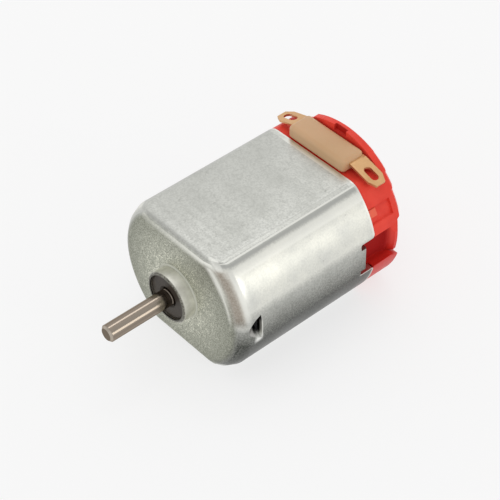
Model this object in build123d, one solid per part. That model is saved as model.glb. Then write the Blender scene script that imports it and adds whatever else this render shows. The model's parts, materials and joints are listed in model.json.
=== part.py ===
from build123d import *
import os
from math import asin, cos, degrees, hypot, radians, sin

# Lengths are in millimetres and angles in degrees.
# The shaft runs along Y with its free end toward -Y. The front mounting face is the plane y = 0,
# and the two flats of the can face +Z and -Z.

# Clearances and tool reach
slip_gap = 0.05  # pieces slid together at assembly
running_gap = 0.03  # radial, shaft in its bearings
brush_gap = 0.04  # leaf brush to commutator
end_play = 0.12  # axial, both ends of the rotor together
overrun = 1.0  # cutting shapes pass this far beyond what they cut

# Shaft
shaft_diameter = 2.0
shaft_reach = 9.7  # free end ahead of the mounting face
shaft_tip_chamfer = 0.25
shaft_tail = 0.2  # rear end short of the rear bearing's back face
ring_width = 0.6  # shallow turned ring beside the front bearing
ring_depth = 0.06
ring_setback = 0.1

# Can: one drawn steel cup
can_width = 20.1
can_flat_share = 0.7662  # across the flats, of the width
can_length = 19.6
can_wall = 0.8
can_corner_radius = 1.8
can_front_bevel = 1.25  # conical band between the round sides and the front face
can_front_ease = 0.5  # softens both edges of the band
can_flat_radius = 0.75  # where the flats turn into the front face
boss_diameter = 6.15
boss_length = 1.7
boss_wall = 0.36
boss_edge = 0.16
boss_root = 0.14

# Lance pressed inward on each round side, the stop for a magnet
lance_front = 1.25
lance_cut = 3.05
lance_depth = 1.6
lance_radius = 1.8
lance_sheet = 0.55

# Crimp tab on each round side, bent in over the end cap
tab_width = 3.0
tab_slit = 0.7  # relief cut beside the tab
tab_line = 1.25  # back of the bent tab ahead of the can's rear edge
tab_slit_depth = 0.85  # relief past the back of the tab
tab_sheet = 0.74
tab_outer_radius = 0.5
tab_reach = 1.6  # tongue tip inward from the side of the can
slit_end_radius = 0.28
window_corner_radius = 0.45

# Front and rear bearings
bearing_recess = 0.25  # front bearing behind the boss rim
bearing_length = 2.6
bearing_edge = 0.2
bearing_mouth = 0.3
rear_bearing_diameter = 4.6
rear_bearing_length = 2.9
rear_bearing_lip = 0.1  # stands out of its seat into the brush chamber

# Magnets and their hairpin spring
air_gap = 0.4
magnet_end_angle = 5.0  # stops short of the can's rounded corner
spring_wire = 0.7
spring_bow_set = 1.3  # bow behind the front ends of the magnets
spring_leg_set = 1.2  # leg ends ahead of the rear ends of the magnets
spring_bend = 1.2  # each corner is bent in two steps

# End cap
cap_flat_step = 0.25  # below the flats of the can
cap_side_step = 0.05  # below the round sides of the can
cap_corner_radius = 1.7
cap_side_length = 3.5  # can edge to the front of the arch
cap_edge = 0.65  # two bevels in a row round the rear face
cap_edge_share = 0.45  # second bevel of the first
spigot_length = 3.8
spigot_wall = 1.25
fence_thickness = 1.0  # raised arch behind the capacitor
fence_drop = 0.38  # its left shoulder below the round sides of the can
fence_rise = 0.18  # its middle above that shoulder
fence_width = 8.5
fence_shift = 0.45  # the whole arch to the right of the middle
fence_edge = 0.25
shoulder_rise = 1.5  # height of the softer edge on the arch's right shoulder
fence_notch_width = 1.8
fence_notch_depth = 0.3
fence_notch_drop = 0.75
chamber_wall = 1.35
rear_wall = 1.3
pocket_rear_set = 0.65  # crimp pocket ends ahead of the arch
pocket_floor_radius = 1.3
rim_step = 0.5  # rim behind the pocket below the cap's sides
rim_front_ease = 0.6  # bevel on the pocket's side of the rim
rim_slope_height = 1.7  # the rim's upper end slopes down to the lobe
rim_slope_depth = 1.1
lobe_radius = 2.2  # rear corner of the upper lobe beside the rim
lower_lobe_radius = 2.0  # and of the lower lobe
groove_low = 3.5  # shallow band on the upper side lobe, heights above the axis
groove_high = 5.2
groove_depth = 0.3
groove_rear_set = 0.35
nub_length = 1.1  # small raised pad in the band
nub_low = 4.2
nub_high = 5.0
nub_sink = 0.1
rear_boss_diameter = 8.4
rear_boss_length = 2.5
rear_boss_edge = 0.35
rear_window_diameter = 3.0  # shows the shaft end
brush_port_width = 1.6
brush_port_height = 2.2
brush_port_gap = 0.6  # from the rear boss

# Capacitor on the cap's upper flat
capacitor_share = 0.443  # its length, of the can's width
capacitor_depth = 3.0
capacitor_height = 1.75
capacitor_radius = 0.62
element_depth = 1.8
element_height = 0.8
element_lift = 0.35

# Terminals
strip_thickness = 0.3
lug_width = 2.2
lug_lift = 1.05  # middle of the strip above the cap's upper flat
lug_shift = 0.2  # lug middle behind the capacitor's middle
lug_root = 0.2  # level part outside the capacitor
lug_length = 3.75  # sloping part of the right lug
lug_left_short = 0.7  # left lug shorter than the right one
lug_slope = 16.0
lug_tip_width = 1.25
lug_tip_chamfer = 0.9
lug_bend_radius = 0.4
eyelet_length = 1.9
eyelet_width = 0.95
eyelet_margin = 0.55  # eyelet to lug tip
leg_width = 1.7
leg_share = 0.72  # spacing of the legs, of the capacitor's length
leg_tail = 1.6  # leg inside the brush chamber

# Leaf brushes
leaf_thickness = 0.18
leaf_width = 2.0
leaf_overlap = 1.2  # width shared with the terminal leg
leaf_top_set = 0.15
leaf_bend_height = 1.3  # straight finger starts this far above the axis
leaf_finger = 2.1  # and ends this far below it
leaf_slit = 0.3
leaf_slit_height = 0.9

# Rotor
pole_count = 3
rotor_share = 0.66  # its radius, of the can's inner radius
stack_share = 0.55  # its length, of the magnets' length
shoe_share = 0.18  # these are shares of the rotor's radius
slot_share = 0.23
neck_share = 0.43
hub_share = 0.375
insulator_thickness = 0.45
coil_gap = 0.1
coil_overhang = 1.6
coil_angle = 104.0
coil_corner = 0.6
collar_wall = 0.9
washer_thickness = 0.25
washer_wall = 0.8

# Commutator
hub_wall = 0.75
segment_wall = 0.5
segment_length = 4.7
segment_slit = 0.35
segment_set = 0.35  # segments end ahead of the hub's rear face
tang_thickness = 0.4
tang_reach = 1.1
tang_width = 1.3
retaining_length = 0.8
retaining_wall = 0.5

# Places and sizes that follow
shaft_radius = shaft_diameter / 2
bore_radius = shaft_radius + running_gap
can_radius = can_width / 2
can_height = can_width * can_flat_share
can_inner_radius = can_radius - can_wall
can_inner_half = can_height / 2 - can_wall
can_inner_corner = can_corner_radius - can_wall
boss_radius = boss_diameter / 2
bearing_radius = boss_radius - boss_wall
bearing_front = bearing_recess - boss_length
bearing_rear = bearing_front + bearing_length

tab_back = can_length - tab_line
tab_front = tab_back - tab_sheet
slit_front = tab_back - tab_slit_depth
window_half = tab_width / 2 + tab_slit

cap_half = can_height / 2 - cap_flat_step
cap_radius = can_radius - cap_side_step
spigot_front = can_length - spigot_length
fence_front = can_length + cap_side_length
fence_radius = can_radius - fence_drop
fence_low = cap_half - cap_corner_radius
cap_rear = fence_front + fence_thickness
chamber_rear = cap_rear - rear_wall
pocket_floor = can_radius - tab_reach - slip_gap
pocket_front = tab_front - slip_gap
pocket_rear = fence_front - pocket_rear_set
chamber_radius = pocket_floor - chamber_wall
chamber_half = can_inner_half - slip_gap - spigot_wall
rear_bearing_radius = rear_bearing_diameter / 2
rear_bearing_front = chamber_rear - rear_bearing_lip
rear_bearing_rear = rear_bearing_front + rear_bearing_length
rear_boss_rear = cap_rear + rear_boss_length

magnet_front = lance_cut + slip_gap
magnet_rear = spigot_front - slip_gap
magnet_outer = can_inner_radius - slip_gap
rotor_radius = can_inner_radius * rotor_share
magnet_inner = rotor_radius + air_gap
corner_angle = degrees(asin((can_inner_half - can_inner_corner) / (can_inner_radius - can_inner_corner)))
magnet_angle = corner_angle - magnet_end_angle

capacitor_length = can_width * capacitor_share
capacitor_rear = fence_front - slip_gap
capacitor_middle = capacitor_rear - capacitor_depth / 2
leg_middle = capacitor_length * leg_share / 2
lug_height = cap_half + lug_lift
lug_middle = capacitor_middle + lug_shift
leg_front = capacitor_middle - leg_width / 2
leg_low = chamber_half - leg_tail
leaf_front = leg_front + leaf_overlap - leaf_width

stack_length = (magnet_rear - magnet_front) * stack_share
stack_front = (magnet_front + magnet_rear - stack_length) / 2
stack_rear = stack_front + stack_length
shoe_thickness = rotor_radius * shoe_share
shoe_inner = rotor_radius - shoe_thickness
slot_opening = rotor_radius * slot_share
neck_width = rotor_radius * neck_share
hub_radius = rotor_radius * hub_share
insulator_front_face = stack_front - insulator_thickness
insulator_rear_face = stack_rear + insulator_thickness
front_washer_face = bearing_rear + end_play / 2
front_washer_back = front_washer_face + washer_thickness
rear_washer_back = rear_bearing_front - end_play / 2
rear_washer_face = rear_washer_back - washer_thickness
hub_outer = shaft_radius + hub_wall
segment_outer = hub_outer + segment_wall
segment_rear = rear_washer_face - segment_set
segment_front = segment_rear - segment_length
pole_pitch = 360 / pole_count


def prism(sketch, y_from, y_to):
    return extrude(Plane.XZ.offset(-y_to) * sketch, amount=y_to - y_from)


def block(x_from, x_to, y_from, y_to, z_from, z_to):
    box = Box(x_to - x_from, y_to - y_from, z_to - z_from, align=(Align.MIN, Align.MIN, Align.MIN))
    return Pos(x_from, y_from, z_from) * box


def tube(outer, inner, y_from, y_to):
    return prism(Circle(outer) - Circle(inner), y_from, y_to)


def turned(points):
    return revolve(make_face(Polyline(*points, close=True)), Axis.Y)


def double_flat(width, height, corner):
    outline = Circle(width / 2) & Rectangle(width, height)
    return fillet(outline.vertices(), corner)


def front_edges(shape):
    return shape.faces().sort_by(Axis.Y)[0].edges()


def rear_edges(shape):
    return shape.faces().sort_by(Axis.Y)[-1].edges()


def both_sides(shape):
    return [shape, mirror(shape, Plane.YZ)]


def strip(points, bend, width, thickness):
    path = FilletPolyline(*points, radius=bend)
    start = Plane(origin=path @ 0, x_dir=(0, 1, 0), z_dir=path % 0)
    return sweep(start * Rectangle(width, thickness), path=path)


# Can

def lance_shape(radius):
    run = lance_cut - lance_front
    slope = hypot(run, lance_depth)
    lift_x = lance_radius * run / slope
    lift_y = lance_radius * lance_depth / slope
    axis = Plane(origin=(can_radius + lift_x, lance_front + lift_y, 0), z_dir=(-lance_depth, run, 0))
    gouge = axis * Cylinder(radius, 2 * (slope + overrun))
    ahead = block(0, can_width, -overrun, lance_cut, -can_radius, can_radius)
    return gouge & ahead


def crimp_tab(outer):
    stem_front = slit_front - can_wall / 2
    stem = Rectangle(tab_sheet, tab_back - stem_front)
    stem = Pos(can_radius - tab_sheet / 2, (stem_front + tab_back) / 2) * stem
    tongue = Pos(can_radius - tab_reach / 2, tab_back - tab_sheet / 2) * Rectangle(tab_reach, tab_sheet)
    profile = stem + tongue
    bend = profile.vertices().sort_by_distance((can_radius, tab_back))[0]
    profile = fillet(bend, tab_outer_radius)
    return extrude(profile, amount=tab_width / 2, both=True) & outer


def crimp_window():
    rear = can_length + overrun
    mouth_half = window_half + window_corner_radius + overrun
    cut = Pos((slit_front + rear) / 2, 0) * Rectangle(rear - slit_front, 2 * window_half)
    cut += Pos((can_length + rear) / 2, 0) * Rectangle(overrun, 2 * mouth_half)
    cut = fillet(cut.vertices().group_by(Axis.X)[0], slit_end_radius)
    mouth = [cut.vertices().sort_by_distance((can_length, side))[0] for side in (window_half, -window_half)]
    cut = fillet(mouth, window_corner_radius)
    return extrude(Plane.YZ.offset(pocket_floor) * cut, amount=can_radius + overrun - pocket_floor)


def turned_cup(radius, y_from, y_to, bevel):
    half = make_face(Polyline((0, y_from), (radius, y_from), (radius, y_to), (0, y_to), close=True))
    return chamfer(half.vertices().sort_by_distance((radius, y_from))[0], bevel)


def can_outside():
    half = turned_cup(can_radius, 0, can_length, can_front_bevel)
    band = half.vertices().sort_by_distance((can_radius, 0))[0:2]
    cup = revolve(chamfer(band, can_front_ease), Axis.Y)
    flats = prism(double_flat(can_width, can_height, can_corner_radius), 0, can_length)
    return fillet(front_edges(flats), can_flat_radius) & cup


def can_inside():
    rear = can_length + overrun
    cup = revolve(turned_cup(can_inner_radius, can_wall, rear, can_front_bevel), Axis.Y)
    outline = double_flat(2 * can_inner_radius, 2 * can_inner_half, can_inner_corner)
    return prism(outline, can_wall, rear) & cup


def can_boss():
    return turned([
        (0, -boss_length),
        (boss_radius - boss_edge, -boss_length),
        (boss_radius, boss_edge - boss_length),
        (boss_radius, -boss_root),
        (boss_radius + boss_root, 0),
        (boss_radius + boss_root, can_wall),
        (0, can_wall),
    ])


def make_can():
    outer = can_outside()
    shell = outer - can_inside() + can_boss()
    shell -= prism(Circle(bearing_radius), -boss_length - overrun, can_wall + overrun)
    for bulge in both_sides(lance_shape(lance_radius + lance_sheet) & outer):
        shell += bulge
    for dent in both_sides(lance_shape(lance_radius)):
        shell -= dent
    for window in both_sides(crimp_window()):
        shell -= window
    for tab in both_sides(crimp_tab(outer)):
        shell += tab
    return shell


# Bearings

def make_front_bearing():
    return turned([
        (bore_radius + bearing_mouth, bearing_front),
        (bearing_radius - bearing_edge, bearing_front),
        (bearing_radius, bearing_front + bearing_edge),
        (bearing_radius, bearing_rear),
        (bore_radius, bearing_rear),
        (bore_radius, bearing_front + bearing_mouth),
    ])


def make_rear_bearing():
    return tube(rear_bearing_radius, bore_radius, rear_bearing_front, rear_bearing_rear)


# Magnets and spring

def sector(outer, inner, middle, angle):
    reach = (outer + overrun) / cos(radians(angle / 2))
    sides = (radians(middle - angle / 2), radians(middle + angle / 2))
    corners = [(reach * cos(side), reach * sin(side)) for side in sides]
    wedge = make_face(Polyline((0, 0), *corners, close=True))
    return (Circle(outer) - Circle(inner)) & wedge


def make_magnet(middle):
    return prism(sector(magnet_outer, magnet_inner, middle, 2 * magnet_angle), magnet_front, magnet_rear)


def make_spring():
    along = magnet_outer - spring_wire
    off = spring_wire / 2 + slip_gap
    leg_x = along * cos(radians(magnet_angle)) - off * sin(radians(magnet_angle))
    leg_z = -along * sin(radians(magnet_angle)) - off * cos(radians(magnet_angle))
    bow = magnet_front + spring_bow_set
    end = magnet_rear - spring_leg_set
    right = [(leg_x - spring_bend, bow, leg_z), (leg_x, bow + spring_bend, leg_z), (leg_x, end, leg_z)]
    left = [(-x, y, z) for x, y, z in reversed(right)]
    path = Polyline(*left, *right)
    wire = Plane(origin=path @ 0, z_dir=path % 0) * Circle(spring_wire / 2)
    return sweep(wire, path=path, transition=Transition.RIGHT)


# End cap

def right_shoulder(low, edge):
    inner = fence_shift + fence_width / 2
    corner = Rectangle(cap_radius - inner, cap_radius - low, align=Align.MIN)
    shoulder = prism(Circle(cap_radius) & Pos(inner, low) * corner, fence_front, cap_rear)
    return chamfer(rear_edges(shoulder).filter_by(GeomType.CIRCLE), edge)


def make_fence():
    left = Rectangle(fence_radius + fence_width / 2, fence_radius - fence_low, align=Align.MIN)
    shoulder = prism(Circle(fence_radius) & Pos(-fence_radius, fence_low) * left, fence_front, cap_rear)
    shoulder = chamfer(rear_edges(shoulder).filter_by(GeomType.CIRCLE), cap_edge)
    crown_radius = fence_radius + fence_rise
    span = Pos(0, (fence_low + crown_radius) / 2) * Rectangle(fence_width, crown_radius - fence_low)
    crown = prism(Circle(crown_radius) & span, fence_front, cap_rear)
    crown = chamfer(rear_edges(crown).filter_by(GeomType.CIRCLE), fence_edge)
    notch = block(
        -fence_notch_width / 2, fence_notch_width / 2,
        fence_front - overrun, fence_front + fence_notch_depth,
        crown_radius - fence_notch_drop, crown_radius + overrun,
    )
    return Pos(fence_shift, 0, 0) * (shoulder + crown - notch)


def cap_shell():
    sides = prism(double_flat(2 * cap_radius, 2 * cap_half, cap_corner_radius), can_length, cap_rear)
    sides = chamfer(rear_edges(sides), cap_edge)
    sides = chamfer(rear_edges(sides), cap_edge * cap_edge_share)
    spigot_outline = double_flat(
        2 * (can_inner_radius - slip_gap), 2 * (can_inner_half - slip_gap), can_inner_corner
    )
    spigot = prism(spigot_outline, spigot_front, can_length)
    rear_boss = prism(Circle(rear_boss_diameter / 2), chamber_rear, rear_boss_rear)
    rear_boss = chamfer(rear_edges(rear_boss), rear_boss_edge)
    shoulder = right_shoulder(fence_low, (cap_edge + fence_edge) / 2)
    shoulder += right_shoulder(fence_low + shoulder_rise, fence_edge)
    return sides + spigot + make_fence() + shoulder + rear_boss


def side_cut(radius, low, high, y_from, y_to):
    band = Circle(can_radius + overrun) - Circle(radius)
    band &= Pos(can_radius, (low + high) / 2) * Rectangle(can_radius, high - low)
    return prism(band, y_from, y_to)


def rim_ring():
    rim_radius = cap_radius - rim_step
    far = can_radius + overrun
    ring = turned([
        (rim_radius - rim_front_ease, pocket_rear - rim_front_ease),
        (rim_radius - rim_front_ease, pocket_rear),
        (rim_radius, pocket_rear + rim_front_ease),
        (rim_radius, cap_rear - cap_edge),
        (rim_radius - cap_edge, cap_rear),
        (rim_radius - cap_edge, cap_rear + overrun),
        (far, cap_rear + overrun),
        (far, pocket_rear - rim_front_ease),
    ])
    return ring & block(0, far, pocket_front, cap_rear + overrun, -window_half, window_half)


def rim_slope():
    inner = cap_radius - rim_step - rim_slope_depth
    reach = can_radius + overrun - inner
    fall = reach * rim_slope_height / rim_slope_depth
    wedge = make_face(Polyline(
        (inner, window_half), (inner + reach, window_half), (inner + reach, window_half - fall), close=True
    ))
    return prism(wedge, pocket_rear - rim_front_ease, cap_rear + overrun)


def lobe_corner(radius):
    corner = Rectangle(radius + overrun, radius, align=Align.MIN) - Pos(0, radius) * Circle(radius)
    inner = cap_radius - rim_step - rim_slope_depth
    corner = Plane.YZ.offset(inner) * Pos(cap_rear - radius, window_half) * corner
    return extrude(corner, amount=can_radius + overrun - inner)


def crimp_pocket():
    pocket = block(pocket_floor, can_radius + overrun, pocket_front, pocket_rear, -window_half, window_half)
    scoop = pocket.edges().filter_by(Axis.Z).sort_by_distance((pocket_floor, pocket_rear, 0))[0]
    pocket = fillet(scoop, pocket_floor_radius) + rim_ring()
    pocket += rim_slope() + lobe_corner(lobe_radius)
    return pocket + mirror(lobe_corner(lower_lobe_radius), Plane.XY)


def side_groove():
    front = can_length - overrun
    rear = fence_front - groove_rear_set
    groove = side_cut(cap_radius - groove_depth, groove_low, groove_high, front, rear)
    pad = Pos(can_radius, (nub_low + nub_high) / 2) * Rectangle(can_radius, nub_high - nub_low)
    return groove - prism(Circle(cap_radius - nub_sink) & pad, front, can_length + nub_length)


def leg_slot():
    half = strip_thickness / 2 + slip_gap
    return block(
        leg_middle - half, leg_middle + half, leg_front - slip_gap, leg_front + leg_width + slip_gap,
        chamber_half - overrun, cap_half + overrun,
    )


def brush_port():
    inside = rear_boss_diameter / 2 + brush_port_gap
    return block(
        inside, inside + brush_port_width, chamber_rear - overrun, cap_rear + overrun,
        -brush_port_height / 2, brush_port_height / 2,
    )


def make_end_cap():
    cap = cap_shell()
    chamber = Circle(chamber_radius) & Rectangle(2 * chamber_radius, 2 * chamber_half)
    cap -= prism(chamber, spigot_front - overrun, chamber_rear)
    for tool in (crimp_pocket(), side_groove(), leg_slot(), brush_port()):
        for cut in both_sides(tool):
            cap -= cut
    cap -= prism(Circle(rear_bearing_radius), chamber_rear - overrun, rear_bearing_rear)
    cap -= prism(Circle(rear_window_diameter / 2), chamber_rear, rear_boss_rear + overrun)
    return cap


# Capacitor, terminals and brushes

def make_terminal(length):
    slope_x = length * cos(radians(lug_slope))
    slope_z = length * sin(radians(lug_slope))
    root_x = capacitor_length / 2 + lug_root
    tip_x = root_x + slope_x
    root = (root_x, lug_middle, lug_height)
    tip = (tip_x, lug_middle, lug_height - slope_z)
    leg_points = [
        (leg_middle, capacitor_middle, leg_low),
        (leg_middle, capacitor_middle, lug_height),
        (root_x, capacitor_middle, lug_height),
    ]
    leg = strip(leg_points, lug_bend_radius, leg_width, strip_thickness)
    start = (leg_middle + lug_bend_radius, lug_middle, lug_height)
    lug = strip([start, root, tip], lug_bend_radius, lug_width, strip_thickness)
    terminal = leg + lug
    low = lug_height - slope_z - overrun
    high = lug_height + overrun
    corner = make_face(Polyline(
        (tip_x + overrun, lug_middle + lug_tip_width / 2),
        (tip_x, lug_middle + lug_tip_width / 2),
        (tip_x - lug_tip_chamfer, lug_middle + lug_width / 2),
        (tip_x - lug_tip_chamfer, lug_middle + lug_width),
        (tip_x + overrun, lug_middle + lug_width),
        close=True,
    ))
    corner = Pos(0, 0, low) * extrude(corner, amount=high - low)
    terminal -= corner
    terminal -= mirror(corner, Plane.XZ.offset(-lug_middle))
    eyelet = extrude(SlotOverall(eyelet_length, eyelet_width), amount=high - low)
    return terminal - Pos(tip_x - eyelet_margin - eyelet_length / 2, lug_middle, low) * eyelet


def make_brush():
    top_x = leg_middle - strip_thickness / 2 - leaf_thickness / 2
    finger_x = segment_outer + brush_gap + leaf_thickness / 2
    middle = leaf_front + leaf_width / 2
    points = [
        (top_x, middle, chamber_half - leaf_top_set),
        (top_x, middle, leg_low),
        (finger_x, middle, leaf_bend_height),
        (finger_x, middle, -leaf_finger),
    ]
    leaf = strip(points, lug_bend_radius, leaf_width, leaf_thickness)
    slit = block(
        0, leg_middle, middle - leaf_slit / 2, middle + leaf_slit / 2,
        -leaf_finger - overrun, leaf_slit_height,
    )
    return leaf - slit


def make_element():
    half = leg_middle - strip_thickness / 2
    return block(
        -half, half, capacitor_middle - element_depth / 2, capacitor_middle + element_depth / 2,
        cap_half + element_lift, cap_half + element_lift + element_height,
    )


def make_capacitor():
    body = block(
        -capacitor_length / 2, capacitor_length / 2, capacitor_rear - capacitor_depth, capacitor_rear,
        cap_half, cap_half + capacitor_height,
    )
    top = body.faces().sort_by(Axis.Z)[-1].edges()
    body = fillet(top + body.edges().filter_by(Axis.Z), capacitor_radius)
    for terminal in both_sides(make_terminal(lug_length)):
        body -= terminal
    return body - make_element()


# Rotor

def make_shaft():
    front = -shaft_reach
    ring_rear = -boss_length - ring_setback
    rear = rear_bearing_rear - shaft_tail
    return turned([
        (0, front),
        (shaft_radius - shaft_tip_chamfer, front),
        (shaft_radius, front + shaft_tip_chamfer),
        (shaft_radius, ring_rear - ring_width),
        (shaft_radius - ring_depth, ring_rear - ring_width / 2),
        (shaft_radius, ring_rear),
        (shaft_radius, rear - shaft_tip_chamfer),
        (shaft_radius - shaft_tip_chamfer, rear),
        (0, rear),
    ])


def pole_angle(number):
    return 90 + number * pole_pitch


def spider(reach):
    outline = Circle(hub_radius)
    for number in range(pole_count):
        outline += Rot(0, 0, pole_angle(number)) * Pos(reach / 2, 0) * Rectangle(reach, neck_width)
    return outline - Circle(shaft_radius)


def plate_outline():
    outline = Circle(rotor_radius) - Circle(shoe_inner)
    outline += spider(shoe_inner + shoe_thickness / 2)
    for number in range(pole_count):
        opening = Pos(rotor_radius, 0) * Rectangle(2 * shoe_thickness + overrun, slot_opening)
        outline -= Rot(0, 0, pole_angle(number) + pole_pitch / 2) * opening
    return outline


def make_stack():
    return prism(plate_outline(), stack_front, stack_rear)


def make_insulator(y_from, y_to):
    outline = spider(shoe_inner) & Circle(shoe_inner)
    return prism(outline, y_from, y_to)


def make_winding(number):
    outer = shoe_inner - coil_gap
    inner = hub_radius + coil_gap
    outline = sector(outer, inner, pole_angle(number), coil_angle)
    outline = fillet(outline.vertices(), coil_corner)
    coil = prism(outline, insulator_front_face - coil_overhang, insulator_rear_face + coil_overhang)
    neck = Rot(0, 0, pole_angle(number)) * Pos(rotor_radius / 2, 0) * Rectangle(rotor_radius, neck_width)
    return coil - prism(neck, insulator_front_face, insulator_rear_face)


def make_collar():
    return tube(shaft_radius + collar_wall, shaft_radius, front_washer_back, insulator_front_face)


def make_washer(y_from):
    return tube(shaft_radius + washer_wall, shaft_radius, y_from, y_from + washer_thickness)


def make_commutator_hub():
    return tube(hub_outer, shaft_radius, insulator_rear_face, rear_washer_face)


def make_segment(number):
    middle = pole_angle(number) + pole_pitch / 2
    outline = sector(segment_outer, hub_outer, middle, pole_pitch)
    for edge in (middle - pole_pitch / 2, middle + pole_pitch / 2):
        outline -= Rot(0, 0, edge) * Pos(segment_outer / 2, 0) * Rectangle(2 * segment_outer, segment_slit)
    reach = segment_outer + tang_reach
    tang = Rot(0, 0, middle) * Pos(reach / 2, 0) * Rectangle(reach, tang_width)
    tang &= Circle(reach) - Circle(hub_outer)
    segment = prism(outline, segment_front, segment_rear)
    return segment + prism(tang, segment_front - tang_thickness, segment_front)


def make_retaining_ring():
    rear = segment_front + retaining_length
    return tube(segment_outer + retaining_wall, segment_outer, segment_front, rear)


# Every piece under its node name

brush_right = make_brush()
pieces = {
    "can": make_can(),
    "front_bearing": make_front_bearing(),
    "rear_bearing": make_rear_bearing(),
    "magnet_right": make_magnet(0),
    "magnet_left": make_magnet(180),
    "magnet_spring": make_spring(),
    "end_cap": make_end_cap(),
    "capacitor_body": make_capacitor(),
    "capacitor_element": make_element(),
    "terminal_right": make_terminal(lug_length),
    "terminal_left": mirror(make_terminal(lug_length - lug_left_short), Plane.YZ),
    "brush_right": brush_right,
    "brush_left": mirror(brush_right, Plane.YZ),
    "shaft": make_shaft(),
    "lamination_stack": make_stack(),
    "insulator_front": make_insulator(insulator_front_face, stack_front),
    "insulator_rear": make_insulator(stack_rear, insulator_rear_face),
    "front_collar": make_collar(),
    "front_washer": make_washer(front_washer_face),
    "rear_washer": make_washer(rear_washer_face),
    "commutator_hub": make_commutator_hub(),
    "commutator_ring": make_retaining_ring(),
}
for number in range(pole_count):
    pieces[f"winding_{number + 1}"] = make_winding(number)
    pieces[f"commutator_segment_{number + 1}"] = make_segment(number)

os.makedirs("parts", exist_ok=True)
for name, piece in pieces.items():
    export_step(piece, os.path.join("parts", name + ".step"))
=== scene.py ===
import json
from math import cos, radians, sin

import bpy
from mathutils import Matrix, Vector


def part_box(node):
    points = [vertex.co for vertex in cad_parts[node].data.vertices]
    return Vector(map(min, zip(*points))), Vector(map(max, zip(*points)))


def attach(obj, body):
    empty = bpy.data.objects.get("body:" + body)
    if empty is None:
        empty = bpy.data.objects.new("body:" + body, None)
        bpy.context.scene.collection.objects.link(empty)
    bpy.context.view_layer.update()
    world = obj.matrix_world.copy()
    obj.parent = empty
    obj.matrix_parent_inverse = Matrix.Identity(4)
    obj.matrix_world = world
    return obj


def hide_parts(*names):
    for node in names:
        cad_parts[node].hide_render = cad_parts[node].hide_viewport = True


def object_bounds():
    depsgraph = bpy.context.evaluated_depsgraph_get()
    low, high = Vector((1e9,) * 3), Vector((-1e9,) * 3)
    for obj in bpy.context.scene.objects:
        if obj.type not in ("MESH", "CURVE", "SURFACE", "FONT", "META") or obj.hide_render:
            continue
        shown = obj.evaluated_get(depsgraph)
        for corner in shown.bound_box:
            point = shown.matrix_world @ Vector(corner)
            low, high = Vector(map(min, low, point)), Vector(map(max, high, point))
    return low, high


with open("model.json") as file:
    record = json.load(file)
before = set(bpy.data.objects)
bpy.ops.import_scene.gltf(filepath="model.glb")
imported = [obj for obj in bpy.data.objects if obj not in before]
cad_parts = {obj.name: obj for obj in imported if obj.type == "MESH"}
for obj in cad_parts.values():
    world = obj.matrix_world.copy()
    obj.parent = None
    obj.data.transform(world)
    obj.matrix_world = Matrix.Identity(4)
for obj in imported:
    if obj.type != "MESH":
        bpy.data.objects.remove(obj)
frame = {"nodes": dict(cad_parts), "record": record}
cadLow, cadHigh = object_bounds()
mm = 0.001
print("frame loaded:", len(frame["nodes"]), "nodes")


# selection and edit-mode helpers

def deselectAll():
    if bpy.context.object and bpy.context.object.mode != "OBJECT":
        bpy.ops.object.mode_set(mode="OBJECT")
    bpy.ops.object.select_all(action="DESELECT")


def activate(piece):
    deselectAll()
    piece.select_set(True)
    bpy.context.view_layer.objects.active = piece


def editAll(piece):
    activate(piece)
    bpy.ops.object.mode_set(mode="EDIT")
    bpy.ops.mesh.select_mode(type="FACE")
    bpy.ops.mesh.select_all(action="SELECT")


def leaveEdit():
    bpy.ops.object.mode_set(mode="OBJECT")


def pickFaces(piece, test):
    leaveEdit()
    for face in piece.data.polygons:
        face.select = test(face)
    for edge in piece.data.edges:
        edge.select = False
    for vertex in piece.data.vertices:
        vertex.select = False
    bpy.ops.object.mode_set(mode="EDIT")
    bpy.ops.mesh.select_mode(type="FACE")


def applyModifiers(piece):
    activate(piece)
    for modifier in list(piece.modifiers):
        bpy.ops.object.modifier_apply(modifier=modifier.name)


def smoothByAngle(piece, angle):
    activate(piece)
    bpy.ops.object.shade_smooth_by_angle(angle=radians(angle))


welding = {"merge": 0.002 * mm, "flatAngle": 0.5}


def mergedCopy(nodeName, pieceName):  # a node's triangles welded into clean faces
    piece = bpy.data.objects.new(pieceName, frame["nodes"][nodeName].data.copy())
    bpy.context.scene.collection.objects.link(piece)
    editAll(piece)
    bpy.ops.mesh.remove_doubles(threshold=welding["merge"])
    bpy.ops.mesh.dissolve_limited(angle_limit=radians(welding["flatAngle"]))
    leaveEdit()
    return piece


def softenEdges(piece, width, segments, angle):
    bevel = piece.modifiers.new("softEdges", "BEVEL")
    bevel.width = width
    bevel.segments = segments
    bevel.limit_method = "ANGLE"
    bevel.angle_limit = radians(angle)
    bevel.use_clamp_overlap = True
    bevel.miter_outer = "MITER_ARC"
    applyModifiers(piece)


def weightNormals(piece):  # keeps the flats flat beside their rounded edges
    weighted = piece.modifiers.new("weighted", "WEIGHTED_NORMAL")
    weighted.keep_sharp = True
    applyModifiers(piece)


def finishPiece(piece, body, slotName, material, *nodes):
    piece.data.materials.clear()
    piece.data.materials.append(material)
    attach(piece, body)
    if nodes:
        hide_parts(*nodes)
    return piece


# shader helpers

def newMaterial(name):
    material = bpy.data.materials.new(name)
    material.use_nodes = True
    tree = material.node_tree
    shader = tree.nodes["Principled BSDF"]
    place = tree.nodes.new("ShaderNodeTexCoord")
    return material, tree, shader, place.outputs["Object"]


def link(tree, output, socket):
    tree.links.new(output, socket)


def mixColour(tree, mask, first, second):
    mix = tree.nodes.new("ShaderNodeMix")
    mix.data_type = "RGBA"
    link(tree, mask, mix.inputs["Factor"])
    for value, socket in ((first, mix.inputs[6]), (second, mix.inputs[7])):  # the colour sockets
        if isinstance(value, tuple):
            socket.default_value = (*value, 1.0)
        else:
            link(tree, value, socket)
    return mix.outputs[2]


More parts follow.
